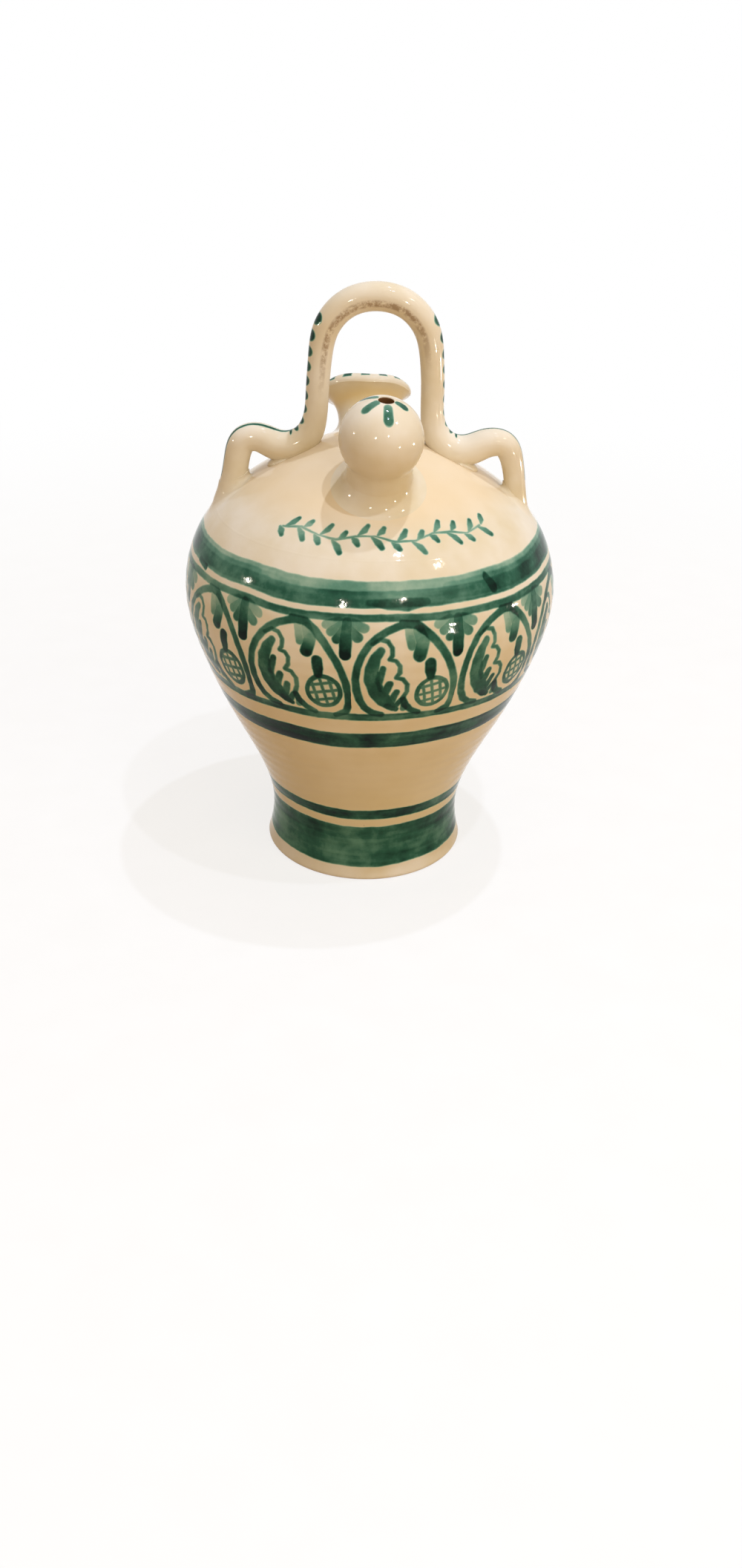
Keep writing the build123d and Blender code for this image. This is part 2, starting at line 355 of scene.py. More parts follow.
def ballTurn(share):
    back = Matrix.Rotation(-radians(spout["holeBack"] * share), 3, spout["axis"]["side"])
    return Matrix.Rotation(radians(spout["holeRight"] * share), 3, spout["axis"]["front"]) @ back


def turnBall(p, turn, height):
    # the skin of the ball slides round its centre, more towards the hole
    rise = unit((height - spout["bulbRise"] + spout["turnBelow"]) / (spout["bulbRadius"] + spout["turnPast"]))
    return spout["ballCentre"] + ballTurn(rise * rise * (3 - 2 * rise)) @ (p - spout["ballCentre"])


def mouthSection():
    neck, throat, start = mouth["neckRadius"], mouth["throat"], mouth["flareStart"]
    rim, rise, lip = mouth["rimRadius"], mouth["rimRise"], mouth["lip"]
    loop = [(neck + 0.5, -3, 1), (neck + 0.5, 0, 1), (neck + 0.2, 2, 0.8), (neck, 5, 0.5)]
    loop += curveBetween((neck, start), (neck + 0.6, rise - 6), (rim - 0.3, rise - 1.5), 14)
    loop += [(rim - lip + lip * cos(a), rise + lip * sin(a)) for a in np.linspace(-0.1, pi - 0.2, 18)]
    loop += curveBetween((rim - 2 * lip, rise - 1), (throat + 1.2, rise - 8), (throat, start), 12)
    loop += [(throat, 4, 0.5), (throat, -3, 1)]
    return loop


def waveRim(p, turn, height):
    # the rim was pulled by hand, so its edge waves a little
    flare = unit((height - mouth["flareStart"]) / mouth["waveOver"])
    wave = mouth["wave"] * sin(2 * turn + 0.6) + mouth["flutter"] * sin(5 * turn)
    return p + mouth["axis"]["up"] * (flare * wave) + Vector((mouth["sway"] * flare * sin(3 * turn), 0, 0))


# the handle: one pulled coil from root to root, each stop is reach, height and thickness on one side
handle = {
    "turn": -4.3,
    "arch": [
        (0.0, 367.0, 8.5), (17.6, 362.4, 8.4), (29.8, 348.5, 8.0), (33.6, 330.4, 7.3), (34.9, 312.2, 7.1),
        (36.0, 294.7, 7.4), (40.0, 283.5, 8.6), (48.8, 276.7, 9.5), (60.2, 276.9, 9.5), (71.4, 281.2, 8.9),
    ],
    "leftRoot": [(79.2, 279.4, 8.6), (83.8, 269.8, 8.1), (86.0, 256.8, 8.2), (88.2, 244.6, 9.6),
                 (89.4, 239.0, 10.4)],
    "rightRoot": [(80.6, 280.2, 8.1), (86.3, 270.0, 7.1), (88.8, 256.8, 6.7), (90.4, 244.6, 7.0),
                  (91.2, 239.0, 7.4)],
    "archLean": 0.5,  # the arch leans a little to the right, from this height up
    "leanFrom": 285.0,
    "leanOver": 40.0,
    "oval": 1.03,  # deeper than wide
    "rows": 10,
    "segments": 44,
    "sink": 2.0,
    "cutSteps": 60,
    "cutPace": 0.35,
}
handleAcross = Vector((cos(radians(handle["turn"])), sin(radians(handle["turn"])), 0))
handleFront = Vector((handleAcross.y, -handleAcross.x, 0))


def pullHandle():
    left = handle["arch"][1:] + handle["leftRoot"]
    stops = [(-u, z, r) for u, z, r in left[::-1]] + handle["arch"] + handle["rightRoot"]
    first = np.array(stops[1]) - np.array(stops[0])
    last = np.array(stops[-1]) - np.array(stops[-2])
    line = throughPoints(stops, first / np.linalg.norm(first), last / np.linalg.norm(last), handle["rows"])
    lift = np.clip((line[:, 1] - handle["leanFrom"]) / handle["leanOver"], 0, 1)
    line[:, 0] += handle["archLean"] * lift * lift * (3 - 2 * lift)
    along = np.gradient(line[:, :2], axis=0)
    along /= np.linalg.norm(along, axis=1)[:, None]
    travel = np.concatenate([[0], np.cumsum(np.linalg.norm(np.diff(line[:, :2], axis=0), axis=1))])
    travel -= travel[len(travel) // 2]
    points, runs, rounds = [], [], []
    count = handle["segments"]
    for i, (u, z, r) in enumerate(line):
        middle = handleAcross * u + Vector((0, 0, z))
        outward = handleAcross * -along[i, 1] + Vector((0, 0, along[i, 0]))
        forward = handleAcross * along[i, 0] + Vector((0, 0, along[i, 1]))
        for k in range(count):
            a = 2 * pi * k / count
            p = middle + outward * (r * cos(a)) + handleFront * (r * handle["oval"] * sin(a))
            if i in (0, len(line) - 1):  # both ends are cut to the shoulder
                away = forward if i else -forward
                for step in range(handle["cutSteps"]):
                    over = p.z - domeTop(hypot(p.x, p.y)) + handle["sink"]
                    p = p + away * over * handle["cutPace"]
            points.append(p)
            runs.append(travel[i])
            rounds.append((a + pi) % (2 * pi) - pi)
    rings = [list(range(i * count, (i + 1) * count)) for i in range(len(line))]
    piece = makePiece("pulledHandle", points, joinRings(rings) + [rings[0], rings[-1][::-1]])
    for name, values in (("coilRun", runs), ("coilRound", rounds)):  # where each point lies on the coil
        layer = piece.data.attributes.new(name, "FLOAT", "POINT")
        layer.data.foreach_set("value", values)
    return piece


# luting slip, smeared from a stem onto the dome so that no joint shows
smears = {
    "spout": {"top": 11.0, "spread": 8.5},  # how far up the axis it reaches, and its width on the dome
    "mouth": {"top": 9.0, "spread": 13.0},
    "root": {"right": (7.0, 89.5), "left": (9.7, 88.0), "lean": 0.2},  # thickness and reach of each root
    "rootRise": (4.0, 17.0),
    "rootSpread": (3.0, 10.0),
    "coat": 0.9,  # thickness on the spout's and the mouth's neck
    "tuck": 1.0,  # the upper edge ends inside the stem
    "upPull": 2.4,  # how long the smear keeps to the stem, and then to the dome
    "outPull": 1.6,
    "edge": 1.0,
    "under": 1.5,
    "sharpest": 50,
    "rows": 12,
    "segments": 96,
}


def levelRise(axis, stemRadius, top):
    # a rise that ends level all round the stem
    return lambda turn: top - heightOnDome(axis, turn, stemRadius)


def domeNormal(p):
    flat = hypot(p.x, p.y)
    fall = (domeTop(flat + 1) - domeTop(flat - 1)) / 2
    return Vector((-fall * p.x / flat, -fall * p.y / flat, 1)).normalized()


def smearSlip(name, axis, stemRadius, rise, spread):
    # rise and spread give the smear's height on the stem and its width on the dome at each turn
    points = []
    rows, count = smears["rows"], smears["segments"]
    for k in range(count):
        turn = 2 * pi * k / count
        up, out = rise(turn), spread(turn)
        low = heightOnDome(axis, turn, stemRadius)
        meet = axisPoint(axis, turn, stemRadius, low)
        across = axisPoint(axis, turn, 1, 0) - axis["seat"]
        normal = domeNormal(meet)
        away = (across - normal * across.dot(normal)).normalized()
        start = axisPoint(axis, turn, stemRadius - smears["tuck"], low + up)
        end = meet + away * out
        end.z = domeTop(hypot(end.x, end.y))
        endNormal = domeNormal(end)
        endAway = (away - endNormal * away.dot(endNormal)).normalized()
        for t in np.linspace(0, 1, rows):
            points.append(start * ((1 + 2 * t) * (1 - t) ** 2) + end * (t * t * (3 - 2 * t))
                          - axis["up"] * (smears["upPull"] * up * t * (1 - t) ** 2)
                          - endAway * (smears["outPull"] * out * t * t * (1 - t)))
        points.append(end - endNormal * smears["edge"])
        points.append(meet - normal * smears["under"] - across * smears["under"])
        points.append(start - across * smears["edge"])
    rings = [list(range(i, len(points), len(points) // count)) for i in range(len(points) // count)]
    return makePiece(name, points, joinRings(rings + rings[:1]), smears["sharpest"])


def rootAxis(side, reach):
    out = handleAcross * side
    seat = out * reach
    seat.z = domeTop(reach)
    up = (Vector((0, 0, 1)) - out * smears["root"]["lean"]).normalized()
    sideways = (out - up * out.dot(up)).normalized()
    return {"seat": seat, "up": up, "side": sideways, "front": up.cross(sideways)}


def rootBlend(inner, outer):
    # the smear is long on the outer side of the root and short under the hump
    return lambda turn: inner + (outer - inner) * (0.5 + 0.5 * cos(turn)) ** 1.3


# pats of slip under the coil where it rests on the dome
pats = {"reach": 55.0, "length": 12.0, "width": 8.6, "height": 3.0, "under": 0.6, "rings": 14, "segments": 40}


def pressPat(name, side):
    out = handleAcross * side
    seat = out * pats["reach"] + Vector((0, 0, domeTop(pats["reach"])))
    fall = (domeTop(pats["reach"] + 1) - domeTop(pats["reach"] - 1)) / 2
    along = (out + Vector((0, 0, fall))).normalized()
    across = Vector((-out.y, out.x, 0))
    up = along.cross(across)

    def place(turn, radius, height):
        return tuple(seat + along * (pats["length"] * radius * cos(turn))
                     + across * (pats["width"] * radius * sin(turn)) + up * (pats["height"] * height))

    arc = np.linspace(0, pi, pats["rings"])
    loop = [(sin(a), cos(a) if a < pi / 2 else pats["under"] * cos(a)) for a in arc]
    loop[0] = (0, 1)
    loop[-1] = (0, -pats["under"])
    return spin(name, loop, pats["segments"], place)


def pierceDome(piece):
    # holes under the spout and the mouth, cut well past both faces of the wall
    reach, segments = 30, 96
    for hole, bore in ((spout["axis"], spout["neckRadius"] - spout["wall"]),
                       (mouth["axis"], mouth["throat"])):
        loop = [(0, -reach), (bore, -reach), (bore, reach), (0, reach)]
        cutter = spin("cutter", loop, segments, seatedPlace(hole))
        cut = piece.modifiers.new("hole", "BOOLEAN")
        cut.object = cutter
        cut.solver = "EXACT"
        shown = piece.evaluated_get(bpy.context.evaluated_depsgraph_get())
        mesh = bpy.data.meshes.new_from_object(shown)
        piece.modifiers.clear()
        piece.data = mesh
        bpy.data.objects.remove(cutter)


# painting tools for the glaze: each stroke leaves less of the ground bare
smooth = {"interpolation_type": "SMOOTHSTEP", "clamp": False}
tinted = {"data_type": "RGBA"}
brush = {"soft": 0.7, "flatRadius": 118.0}  # softness of an edge, and the radius that strokes are laid out at
brushEdge = (-brush["soft"], brush["soft"])


def layOver(paint, load):
    clear = paint["add"]("Math SUBTRACT", 1.0, load)
    paint["bare"] = paint["add"]("Math MULTIPLY", paint["bare"], clear)


def thinPaint(paint, share):
    # leaves this share of the paint that is on the ground
    load = paint["add"]("Math SUBTRACT", 1.0, paint["bare"])
    load = paint["add"]("Math MULTIPLY", load, share, use_clamp=True)
    paint["bare"] = paint["add"]("Math SUBTRACT", 1.0, load)


def withinSpan(add, value, low, high):
    # how far inside the span a value lies
    return add("Math MINIMUM", add("Math SUBTRACT", high, value), add("Math SUBTRACT", value, low))


def apart(add, value, middle):
    return add("Math ABSOLUTE", add("Math SUBTRACT", value, middle))


def brushMark(paint, place, strokes):
    # strokes laid wet in wet: across, height, half width and load at each stop
    add = paint["add"]
    mark = 0.0
    for start, end in [pair for stops in strokes for pair in zip(stops, stops[1:])]:
        run = Vector((end[0] - start[0], end[1] - start[1], 0))
        fromStart = add("VectorMath SUBTRACT", place, (start[0], start[1], 0))
        share = add("Clamp", add("VectorMath DOT_PRODUCT", fromStart, run / run.length_squared))
        spine = add("VectorMath SCALE", {0: run, "Scale": share})
        gap = add("VectorMath DISTANCE", fromStart, spine)
        width = add("Math MULTIPLY_ADD", share, end[2] - start[2], start[2])
        inside = add("Math SUBTRACT", width, gap)
        load = add("Math MULTIPLY_ADD", share, end[3] - start[3], start[3])
        laid = add("MapRange", inside, *brushEdge, 0.0, load, **smooth)
        mark = add("Math MAXIMUM", laid, mark)
    layOver(paint, mark)


def tintGround(made, share, code):
    # the ground takes on this colour where the share is high
    made["ground"] = made["add"]("Mix", {0: share, 6: made["ground"], 7: hexLinear(code)}, **tinted)


# tin glaze over buff earthenware, dipped and fired: warm cream, wet gloss, cloudy where it ran thick or thin
glaze = {
    "cream": "#e3dccc",
    "thin": "#d7caab",
    "low": "#d6c99f",  # painted shade: a deeper cream down the belly, where the lower wall gets less light
    "lowShadeRange": (215.0, 60.0),
    "lowShadeMost": 0.7,
    "rimRange": (6.0, 40.0),  # but not at the foot's rim
    "crest": "#e3cfac",  # painted shade: a warmer, darker cream on top of the dome, for how the light falls there
    "topShadeRange": (244.0, 263.0),
    "topShadeMost": 0.75,
    "neckShade": "#e2cb94",  # painted shade: a warmer, darker cream on the mouth's neck under the lip
    "neckShadeRange": (1.0, -9.0),  # from the rim
    "neckShadeMost": 0.85,
    "neckShadeFoot": (-1.0, 11.0),  # from the top of the slip
    "speck": "#5a4630",
    "clay": "#b98a5e",
    "clayRough": 0.85,
    # bare clay inside the spout, painted darker than the clay under the foot as shade in the hollow
    "hollow": "#6d4c2e",
    "hollowDeep": 2.6,
    "cloud": 38.0,
    "cloudRange": (0.35, 0.7),
    "speckStep": 24.0,
    "speckSize": 0.42,
    "speckRare": 0.55,
    "peel": 3.2,
    "peelRange": (0.3, 0.7),
    "ridge": 7.0,
    "ridgeDrawn": (0.03, 0.03, 1.0),  # ridges run round the jug
    "ridgeShare": 1.6,
    "relief": 0.1,
    "reliefShare": 0.6,
    "gloss": (0.05, 0.1),
    "ior": 1.33,
    "shine": 0.16,
}


def creamGlaze(name):
    # a new material with the ground and the millimetre coordinates that every glazed piece shares
    material = newMaterial(name)
    add = partial(addNode, material.node_tree)
    where = add("TexCoord").outputs["Object"]
    spot = add("VectorMath SCALE", {0: where, "Scale": 1 / mm})
    cloud = add("TexNoise", {"Vector": spot, "Scale": 1 / glaze["cloud"], "Detail": 3.0, "Roughness": 0.55})
    cloudy = add("MapRange", cloud, *glaze["cloudRange"])
    ground = add("Mix", {0: cloudy, 6: hexLinear(glaze["cream"]), 7: hexLinear(glaze["thin"])}, **tinted)
    x, y, z = add("SeparateXYZ", spot).outputs
    made = {"material": material, "add": add, "spot": spot, "x": x, "y": y, "z": z, "ground": ground,
            "bare": 1.0}
    # painted shade: the cream deepens down the belly, where less light reaches the lower wall, but not at the
    # foot's rim
    low = add("MapRange", z, *glaze["lowShadeRange"], 0.0, glaze["lowShadeMost"], **smooth)
    rim = add("MapRange", z, *glaze["rimRange"], **smooth)
    tintGround(made, add("Math MULTIPLY", low, rim), glaze["low"])
    grit = add("TexVoronoi", {"Vector": spot, "Scale": 1 / glaze["speckStep"]})
    rare = add("SeparateColor", grit.outputs["Color"])
    size = add("MapRange", rare, glaze["speckRare"], 1.0, 0.0, glaze["speckSize"] / glaze["speckStep"])
    near = add("Math LESS_THAN", grit.outputs["Distance"], size)
    tintGround(made, near, glaze["speck"])
    made["peel"] = add("TexNoise", {"Vector": spot, "Scale": 1 / glaze["peel"], "Detail": 2.0})
    return made


# copper-green brush paint under the glaze: thin washes are grey turquoise, full strokes dark bottle green
copper = {
    "steps": [  # load, colour
        (0.0, "#cad3be"), (0.2, "#a0b9a5"), (0.42, "#5d8b78"), (0.64, "#2b5c4a"), (0.82, "#123a2c"),
        (1.0, "#061a13"),
    ],
    "cover": (0.02, 0.2),
    "pool": 16.0,
    "poolRange": (0.3, 0.72, 0.72, 1.22),
    "drift": 48.0,  # how full the brush was, from one motif to the next
    "driftRange": (0.3, 0.7, 0.86, 1.14),
}


def glazeFinish(made):
    # lays the paint over the ground and closes the shader
    add, spot, peel = made["add"], made["spot"], made["peel"]
    colour = made["ground"]
    if not isinstance(made["bare"], float):
        pool = add("TexNoise", {"Vector": spot, "Scale": 1 / copper["pool"], "Detail": 4.0, "Roughness": 0.6})
        pool = add("MapRange", pool, *copper["poolRange"])
        full = add("TexNoise", {"Vector": spot, "Scale": 1 / copper["drift"], "Detail": 1.0})
        full = add("MapRange", full, *copper["driftRange"])
        pool = add("Math MULTIPLY", pool, full)
        load = add("Math SUBTRACT", 1.0, made["bare"])
        load = add("Math MULTIPLY", load, pool, use_clamp=True)
        tint = add("ValToRGB", load)
        steps = tint.color_ramp.elements
        while len(steps) < len(copper["steps"]):
            steps.new(0.5)
        for step, (share, code) in zip(steps, copper["steps"]):
            step.position = share
            step.color = hexLinear(code)
        cover = add("MapRange", load, *copper["cover"], **smooth)
        colour = add("Mix", {0: cover, 6: colour, 7: tint}, **tinted)
    streaks = add("VectorMath MULTIPLY", spot, glaze["ridgeDrawn"])
    ridge = add("TexNoise", {"Vector": streaks, "Scale": 1 / glaze["ridge"], "Detail": 1.0})
    relief = add("Math MULTIPLY_ADD", ridge, glaze["ridgeShare"], peel)
    bump = add("Bump", {"Height": relief, "Strength": glaze["reliefShare"], "Distance": glaze["relief"] * mm})
    rough = add("MapRange", peel, *glaze["peelRange"], *glaze["gloss"])
    shader = add("BsdfPrincipled",
                 {"Base Color": colour, "Roughness": rough, "Normal": bump, "IOR": glaze["ior"],
                  "Specular IOR Level": glaze["shine"]})
    made.update(shader=shader, colour=colour, rough=rough)
    add("OutputMaterial", shader)
    return made["material"]


# painted bands and the frieze of arches, leaves and pomegranates round the belly
bands = {
    "rings": [  # top, bottom, load
        # the first ring is the top band, laid thin: its paler upper part is partly a painted sheen of light
        (230.4, 216.8, 0.36), (213.2, 208.9, 0.6), (146.9, 141.6, 0.7),
        (130.8, 118.4, 0.84), (56.0, 47.9, 0.78), (41.0, 10.2, 0.6),
    ],
    "shade": [  # darker second pass of the brush
        (225.6, 216.6, 0.38), (126.0, 118.4, 0.25), (18.0, 10.0, 0.1), (41.0, 31.0, 0.16),
    ],
    "streak": 5.5,
    "streakRange": (0.3, 0.7, 0.85, 1.14),
    "drawn": (0.09, 0.09, 1.0),  # streaks run round the jug
    "waver": 1.2,
    "waverStep": 60.0,
    "wobble": 0.24,
    "wobbleStep": 7.0,
}
frieze = {
    "cells": 11,
    "firstCell": 6.9,  # degrees from the spout side towards +X
    "fit": 0.955,
    "arch": [  # across from the middle of the cell, height, half width, load
        [(-0.5, 207.6, 2.4, 0.72), (-6.0, 205.8, 2.3, 0.68), (-11.5, 203.2, 2.3, 0.64),
         (-17.0, 199.3, 2.3, 0.64), (-21.3, 194.8, 2.2, 0.62), (-25.4, 188.0, 2.2, 0.64),
         (-28.0, 180.5, 2.2, 0.66), (-29.2, 172.5, 2.3, 0.7), (-29.0, 165.0, 2.4, 0.72),
         (-27.4, 158.0, 2.4, 0.72), (-24.6, 152.2, 2.4, 0.7), (-20.0, 148.2, 2.2, 0.7),
         (-14.0, 146.6, 2.0, 0.7)],
        [(-3.0, 207.8, 2.3, 0.72), (5.5, 207.0, 2.6, 0.74), (11.0, 202.6, 2.4, 0.64), (16.0, 197.0, 2.4, 0.6),
         (20.5, 190.6, 2.3, 0.6), (24.2, 184.0, 2.3, 0.6), (27.2, 177.0, 2.3, 0.64), (29.2, 170.0, 2.4, 0.68),
         (30.4, 162.5, 2.4, 0.72), (30.6, 154.5, 2.3, 0.72), (29.0, 148.5, 2.3, 0.7),
         (23.0, 145.6, 2.0, 0.7)],
        [(-1.2, 158.0, 2.0, 0.66), (0.6, 153.6, 2.5, 0.78), (4.4, 149.4, 2.2, 0.72), (9.6, 146.8, 2.0, 0.7)],
    ],
    "scallop": [  # the wavy line beside the leaf
        [(-19.5, 195.6, 1.1, 0.5), (-15.0, 198.4, 1.3, 0.56), (-10.8, 197.4, 1.4, 0.58),
         (-8.4, 193.6, 1.35, 0.56), (-8.4, 189.0, 1.3, 0.54), (-9.8, 186.3, 1.3, 0.56),
         (-6.4, 185.6, 1.3, 0.58), (-4.2, 182.4, 1.35, 0.56), (-4.2, 178.0, 1.35, 0.54),
         (-6.2, 174.4, 1.4, 0.62), (-2.4, 173.4, 1.4, 0.6), (0.2, 169.6, 1.4, 0.58), (0.4, 164.2, 1.4, 0.58),
         (-1.6, 159.0, 1.6, 0.64)],
    ],
    "leaf": [
        [(-14.6, 191.6, 2.3, 0.56), (-17.6, 187.0, 3.1, 0.6), (-19.8, 180.0, 3.9, 0.64),
         (-19.8, 172.0, 4.5, 0.66), (-17.2, 164.4, 5.1, 0.68), (-13.0, 157.8, 4.9, 0.7),
         (-8.8, 153.2, 3.3, 0.78), (-5.0, 150.4, 1.8, 0.8)],
        [(-16.4, 170.0, 2.6, 0.64), (-13.6, 180.2, 1.9, 0.72)],
        [(-12.6, 162.6, 2.8, 0.64), (-9.8, 170.0, 2.2, 0.72)],
        [(-8.4, 156.4, 2.6, 0.66), (-5.6, 164.2, 1.9, 0.72)],
        [(-5.8, 152.6, 2.2, 0.7), (-2.8, 157.4, 1.6, 0.72)],
    ],
    "veins": [  # darker strokes over the leaf and at the foot of the wavy line
        [(-16.2, 177.5, 0.8, 0.4), (-16.6, 171.0, 1.3, 0.5), (-14.8, 165.0, 0.9, 0.4)],
        [(-11.0, 153.2, 1.8, 0.5), (-7.6, 151.4, 2.2, 0.55)],
        [(-0.4, 157.0, 1.6, 0.35), (-0.2, 150.6, 2.2, 0.5)],
    ],
    "wash": [
        [(0.8, 203.8, 2.4, 0.26), (1.8, 199.0, 2.7, 0.34), (2.6, 194.4, 2.5, 0.46)],
        [(6.2, 203.4, 3.4, 0.34), (8.6, 196.6, 3.9, 0.44), (6.8, 188.6, 3.7, 0.86)],
    ],
    "crown": [[(13.6, 174.4, 2.4, 0.96), (13.4, 178.2, 3.2, 0.95), (13.2, 183.6, 3.2, 0.86)]],
    "fruit": {
        "centre": (16.2, 162.6), "wide": 11.0, "tall": 12.2, "line": 1.4, "soft": 0.5, "lineLoad": 0.7,
        "slants": [(0.97, 0.24, 0), (-0.2, 0.98, 0)], "mesh": 5.1, "thread": 0.95, "threadSoft": 0.45,
        "threadLoad": 0.6, "washLoad": 0.1,
    },
    "spray": [  # hangs between two arches, measured from the cell's edge
        [(-8.0, 208.2, 3.0, 0.36), (-14.6, 206.4, 2.8, 0.3)],
        [(-5.0, 207.0, 3.4, 0.44), (-11.4, 202.6, 3.0, 0.42)],
        [(-3.6, 204.4, 3.4, 0.5), (-7.6, 198.2, 3.0, 0.62)],
        [(0.6, 207.6, 3.2, 0.44), (7.6, 205.0, 3.0, 0.34)],
        [(-1.2, 204.0, 3.4, 0.5), (4.4, 199.4, 3.0, 0.56)],
        [(-2.6, 208.0, 3.2, 0.64), (-2.6, 198.0, 3.8, 0.7), (-2.6, 188.4, 3.3, 0.98)],
    ],
    "drips": [  # under and in the top band: azimuth in degrees, height, half width, load
        [(-5.0, 219.6, 1.4, 0.3), (1.0, 218.6, 3.0, 0.56), (7.0, 218.0, 3.6, 0.66), (13.0, 219.4, 1.8, 0.4)],
        [(34.6, 226.6, 2.2, 0.6), (36.5, 220.8, 3.2, 0.7)],
        [(20.0, 223.4, 4.4, 0.1), (40.0, 223.4, 4.8, 0.36), (84.0, 223.4, 4.8, 0.4),
         (106.0, 223.4, 3.6, 0.02)],
        [(-106.0, 223.4, 3.6, 0.02), (-84.0, 223.4, 4.8, 0.4), (-52.0, 223.4, 4.8, 0.36),
         (-28.0, 223.4, 4.4, 0.08)],
        [(-72.0, 217.4, 1.6, 0.7), (-66.0, 216.0, 2.0, 0.75)],
        [(123.0, 218.0, 2.0, 0.7), (126.0, 216.2, 1.6, 0.7)],
    ],
}
wiped = {"facing": (-0.75, -0.9), "height": (6.0, 5.0), "past": 1.0}  # where the underside has no glaze


def fruitHatch(paint, place):
    # the pomegranate: a ring filled with crossed threads over a thin wash
    add, fruit = paint["add"], frieze["fruit"]
    line, thread = fruit["line"], fruit["thread"]
    inner = fruit["wide"] - line
    off = add("VectorMath SUBTRACT", place, (*fruit["centre"], 0))
    off = add("VectorMath MULTIPLY", off, (1.0, fruit["wide"] / fruit["tall"], 0))
    reach = add("VectorMath LENGTH", off)
    rim = apart(add, reach, inner)
    ring = add("MapRange", rim, line - fruit["soft"], line + fruit["soft"], fruit["lineLoad"], 0.0, **smooth)
    threads = 0.0
    for slant in fruit["slants"]:
        run = add("VectorMath DOT_PRODUCT", off, slant)
        beat = add("Math PINGPONG", run, fruit["mesh"] / 2)
        edge = (thread - fruit["threadSoft"], thread + fruit["threadSoft"])
        crossed = add("MapRange", beat, *edge, fruit["threadLoad"], fruit["washLoad"], **smooth)
        threads = add("Math MAXIMUM", crossed, threads)
    within = add("Math LESS_THAN", reach, inner)
    threads = add("Math MULTIPLY", threads, within)
    layOver(paint, add("Math MAXIMUM", ring, threads))


def bandRing(paint, height, top, bottom, load):
    add = paint["add"]
    inside = withinSpan(add, height, bottom, top)
    clear = add("MapRange", inside, *brushEdge, 1.0, 1 - load, **smooth)
    paint["bare"] = add("Math MULTIPLY", paint["bare"], clear)


def wavering(made):
    # the hand's waver: slow and quick noise that bends every stroke
    add = made["add"]
    bends = []
    for step, detail in ((bands["waverStep"], 1.0), (bands["wobbleStep"], 2.0)):
        bend = add("TexNoise", {"Vector": made["spot"], "Scale": 1 / step, "Detail": detail})
        bends.append(add("VectorMath SUBTRACT", bend.outputs["Color"], (0.5, 0.5, 0.5)))
    slow = add("VectorMath SCALE", {0: bends[0], "Scale": 4 * bands["waver"]})
    return add("VectorMath MULTIPLY_ADD", bends[1], (4 * bands["wobble"],) * 3, slow)


def azimuthOf(made):
    # turn round the jug in radians, zero at the spout side and growing towards +X
    back = made["add"]("Math MULTIPLY", made["y"], -1.0)
    return made["add"]("Math ARCTAN2", made["x"], back)


def fromAxis(made):
    # how far out a point lies from the jug's axis
    level = made["add"]("VectorMath MULTIPLY", made["spot"], (1, 1, 0))
    return made["add"]("VectorMath LENGTH", level)


def paintedBelly():
    # streaky green bands and the frieze over the cream, with bare clay under the foot
    made = creamGlaze("copperPaintedGlaze")
    add = made["add"]
    bend = add("SeparateXYZ", wavering(made))
    azimuth = azimuthOf(made)
    arc = add("Math MULTIPLY_ADD", azimuth, brush["flatRadius"], bend.outputs["X"])
    height = add("Math ADD", made["z"], bend.outputs["Y"])

    # bands, with streaks that run round the jug
    for ring in bands["rings"] + bands["shade"]:
        bandRing(made, height, *ring)
    drawn = add("VectorMath MULTIPLY", made["spot"], bands["drawn"])
    streak = add("TexNoise", {"Vector": drawn, "Scale": 1 / bands["streak"], "Detail": 2.0})
    streak = add("MapRange", streak, *bands["streakRange"])
    thinPaint(made, streak)

    # drips and dark second strokes in the top band
    flat = add("CombineXYZ", arc, height)
    degree = radians(brush["flatRadius"])
    for drip in frieze["drips"]:
        brushMark(made, flat, [[(stop[0] * degree, *stop[1:]) for stop in drip]])

    # frieze: the same cell repeated round the belly, and the spray between the cells
    pitch = 2 * pi * brush["flatRadius"] / frieze["cells"]
    places = []
    for shift in (0.0, 0.5):
        centre = frieze["firstCell"] * degree + shift * pitch
        turn = add("Math SUBTRACT", arc, centre)
        turn = add("Math WRAP", turn, -pitch / 2, pitch / 2)
        turn = add("Math MULTIPLY", turn, frieze["fit"])
        places.append(add("CombineXYZ", turn, height))
    for mark in ("arch", "scallop", "leaf", "veins", "wash"):
        brushMark(made, places[0], frieze[mark])
    fruitHatch(made, places[0])
    brushMark(made, places[0], frieze["crown"])
    brushMark(made, places[1], frieze["spray"])
    material = glazeFinish(made)

    # the standing ring and the hollow under it were wiped clean of glaze
    facing = add("SeparateXYZ", add("NewGeometry").outputs["Normal"])
    under = add("MapRange", facing.outputs["Z"], *wiped["facing"])
    near = add("MapRange", made["z"], *wiped["height"])
    recessed = add("Math LESS_THAN", fromAxis(made), recessRadius + wiped["past"])
    under = add("Math MAXIMUM", under, recessed)
    raw = add("Math MULTIPLY", under, near)
    clay = add("Mix", {0: raw, 6: made["colour"], 7: hexLinear(glaze["clay"])}, **tinted)
    dull = add("Mix", {0: raw, 2: made["rough"], 3: glaze["clayRough"]})
    links = material.node_tree.links
    links.new(clay.outputs[2], made["shader"].inputs["Base Color"])
    links.new(dull.outputs[0], made["shader"].inputs["Roughness"])
    print("frieze painted with", len(material.node_tree.nodes), "nodes")
    return material


def plainGlaze():
    # plain cream with faint clouds and a wet gloss
    return glazeFinish(creamGlaze("creamTinGlaze"))


